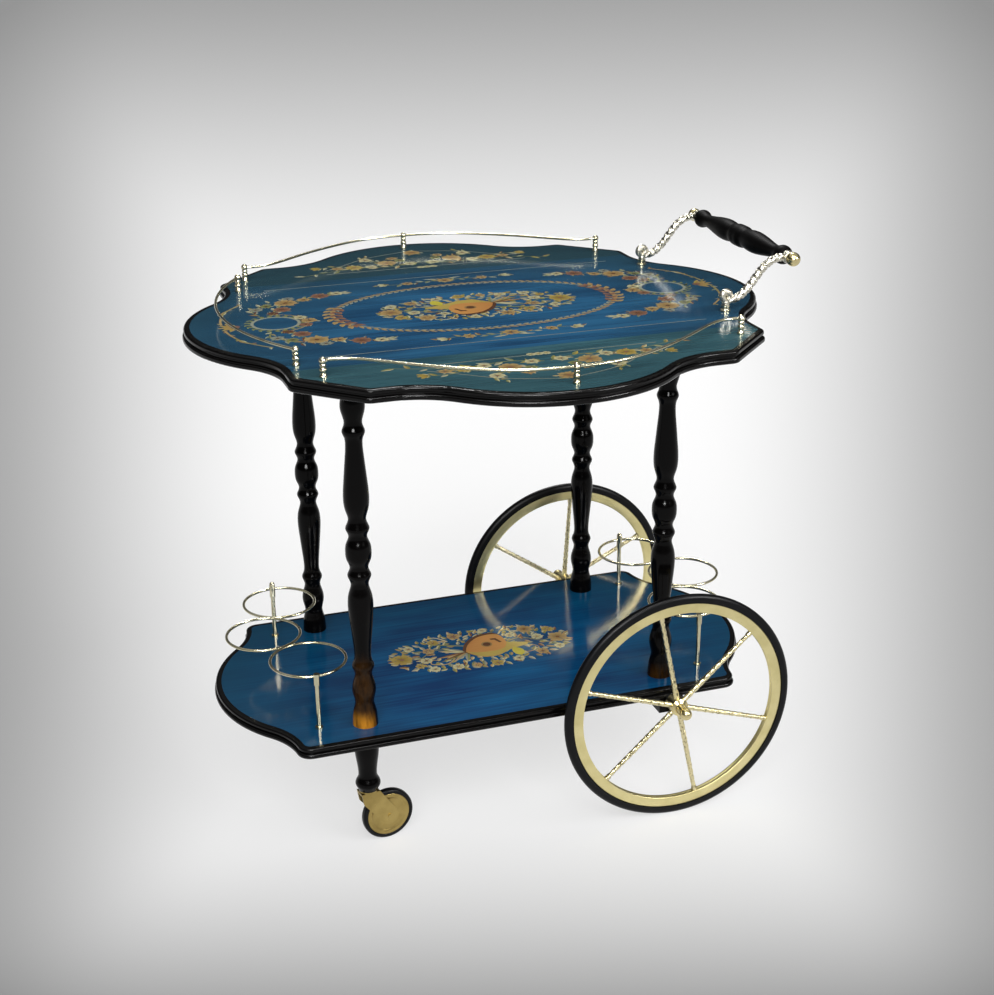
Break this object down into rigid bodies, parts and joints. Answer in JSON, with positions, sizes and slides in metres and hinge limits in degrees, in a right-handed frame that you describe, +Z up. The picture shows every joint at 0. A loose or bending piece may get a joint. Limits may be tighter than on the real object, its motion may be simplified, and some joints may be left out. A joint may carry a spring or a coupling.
{
  "type": "serving cart",
  "caption": "Drop-leaf serving cart with a lobed inlaid tray over a shelf, turned legs, brass gallery rails, bottle rings, a push handle, large spoked wheels and swivel casters.",
  "frame": {"origin": "on the floor under the middle of the whole box", "axes": "+X along the cart towards the handle and big wheels, +Y towards the back leaf, +Z up"},
  "size_m": [0.8081, 0.8118, 0.7897],
  "materials": {
    "blue_veneer": "high-gloss lacquer over dyed veneer",
    "black_wood": "black gloss lacquer",
    "plain_wood": "unfinished",
    "brass": "polished",
    "steel": "plain",
    "black_rubber": "satin"
  },
  "bodies": {
    "frame": {"axle": "steel", "axle_caps": "brass", "axle_washers": "brass", "back_axle_block": "black_wood", "back_foot": "black_wood", "back_handle_arm": "brass", "back_left_leg": "black_wood", "back_right_leg": "black_wood", "bottle_posts": "brass", "caster_sockets": "brass", "end_rail": "brass", "end_rail_posts": "brass", "front_axle_block": "black_wood", "front_foot": "black_wood", "front_handle_arm": "brass", "front_left_leg": "black_wood", "front_right_leg": "black_wood", "handle_grip": "black_wood", "handle_nuts": "brass", "handle_posts": "brass", "handle_rod": "steel", "hinge_pins": "steel", "hinge_plates": "brass", "left_bottle_rings": "brass", "leg_dowels": "plain_wood", "right_bottle_rings": "brass", "shelf_lip": "black_wood", "shelf_panel": "blue_veneer", "tray_lip_left": "black_wood", "tray_lip_right": "black_wood", "tray_panel": "blue_veneer"},
    "front_leaf": {"front_leaf_panel": "blue_veneer", "front_leaf_lip": "black_wood", "front_rail": "brass", "front_rail_posts": "brass", "front_hinge_flaps": "brass"},
    "front_wheel": {"front_wheel_tyre": "black_rubber", "front_wheel_rim": "brass", "front_wheel_spokes": "brass", "front_wheel_hub": "brass"},
    "front_caster": {"front_caster_fork": "brass", "front_caster_pin": "steel"},
    "front_caster_wheel": {"front_caster_disc": "brass", "front_caster_tyre": "black_rubber"},
    "back_leaf": {"back_leaf_panel": "blue_veneer", "back_leaf_lip": "black_wood", "back_rail": "brass", "back_rail_posts": "brass", "back_hinge_flaps": "brass"},
    "back_wheel": {"back_wheel_tyre": "black_rubber", "back_wheel_rim": "brass", "back_wheel_spokes": "brass", "back_wheel_hub": "brass"},
    "back_caster": {"back_caster_fork": "brass", "back_caster_pin": "steel"},
    "back_caster_wheel": {"back_caster_disc": "brass", "back_caster_tyre": "black_rubber"}
  },
  "joints": [
    {"name": "front_wheel_spin", "type": "hinge", "parent": "frame", "child": "front_wheel", "pos_m": [0.20955, -0.22535, 0.17], "axis": [0, 1, 0], "continuous": true},
    {"name": "front_caster_swivel", "type": "hinge", "parent": "frame", "child": "front_caster", "pos_m": [-0.22155, -0.155, 0.081], "axis": [0, 0, 1], "continuous": true},
    {"name": "front_caster_roll", "type": "hinge", "parent": "front_caster", "child": "front_caster_wheel", "pos_m": [-0.19488, -0.15078, 0.0373], "axis": [-0.1564, 0.9877, 0], "continuous": true},
    {"name": "front_leaf_fold", "type": "hinge", "parent": "frame", "child": "front_leaf", "pos_m": [0, -0.211, 0.6885], "axis": [1, 0, 0], "range_deg": [0, 90]},
    {"name": "back_wheel_spin", "type": "hinge", "parent": "frame", "child": "back_wheel", "pos_m": [0.20955, 0.22535, 0.17], "axis": [0, 1, 0], "continuous": true},
    {"name": "back_caster_swivel", "type": "hinge", "parent": "frame", "child": "back_caster", "pos_m": [-0.22155, 0.155, 0.081], "axis": [0, 0, 1], "continuous": true},
    {"name": "back_caster_roll", "type": "hinge", "parent": "back_caster", "child": "back_caster_wheel", "pos_m": [-0.19488, 0.15922, 0.0373], "axis": [-0.1564, 0.9877, 0], "continuous": true},
    {"name": "back_leaf_fold", "type": "hinge", "parent": "frame", "child": "back_leaf", "pos_m": [0, 0.211, 0.6885], "axis": [-1, 0, 0], "range_deg": [0, 90]}
  ]
}
